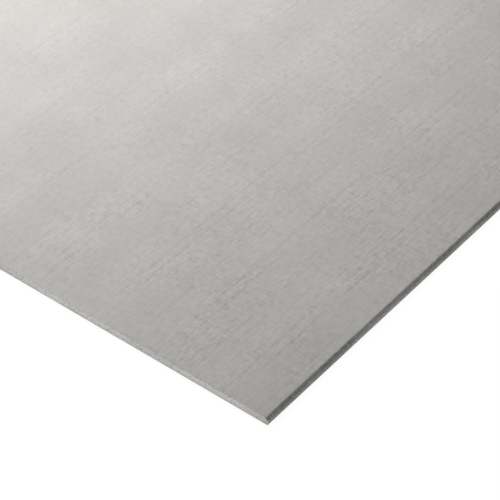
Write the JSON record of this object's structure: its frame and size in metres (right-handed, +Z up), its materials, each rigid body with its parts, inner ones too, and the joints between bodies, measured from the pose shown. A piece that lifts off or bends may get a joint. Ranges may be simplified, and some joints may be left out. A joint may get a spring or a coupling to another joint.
{
  "type": "cement board",
  "caption": "Flat grey cement board with a mesh-textured face, bevelled long edges and square sawn ends, screwed to framing as a tile backer or lining.",
  "frame": {"origin": "middle of the back face, which lies on the floor", "axes": "+X along the formed long edges, +Y across the board, +Z up out of the face"},
  "size_m": [1.2, 0.9, 0.0125],
  "materials": {
    "cement": "matt light grey cement with the imprint of a woven mesh"
  },
  "bodies": {
    "root": {"cement_board": "cement"}
  },
  "joints": []
}
